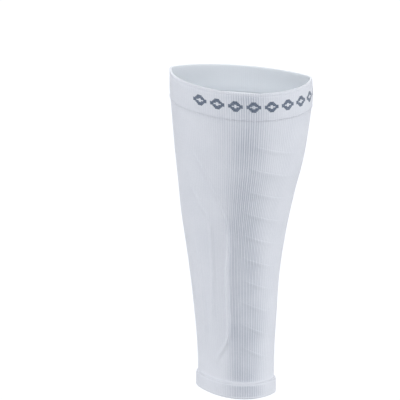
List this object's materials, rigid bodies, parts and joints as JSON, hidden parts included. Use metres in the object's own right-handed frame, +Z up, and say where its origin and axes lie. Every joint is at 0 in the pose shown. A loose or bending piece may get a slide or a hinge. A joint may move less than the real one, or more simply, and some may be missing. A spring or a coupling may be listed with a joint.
{
  "type": "calf compression sleeve",
  "caption": "Knitted calf compression sleeve in its worn form, open at both ends, with a turned top welt and a turned ankle welt.",
  "frame": {"origin": "on the leg's axis where the calf is fullest, 15 mm below the rim", "axes": "+Z up to the knee, -X to the shin, +X to the back of the calf, -Y to the near side in the picture"},
  "size_m": [0.1308, 0.0996, 0.3137],
  "materials": {
    "top_welt_knit": "double layer of fine white knit with a knitted row of slate grey marks",
    "leg_knit": "fine ribbed white knit, slightly lustrous",
    "ankle_welt_knit": "double layer of fine white knit"
  },
  "bodies": {
    "root": {"top_welt": "top_welt_knit", "leg_tube": "leg_knit", "ankle_welt": "ankle_welt_knit"}
  },
  "joints": []
}
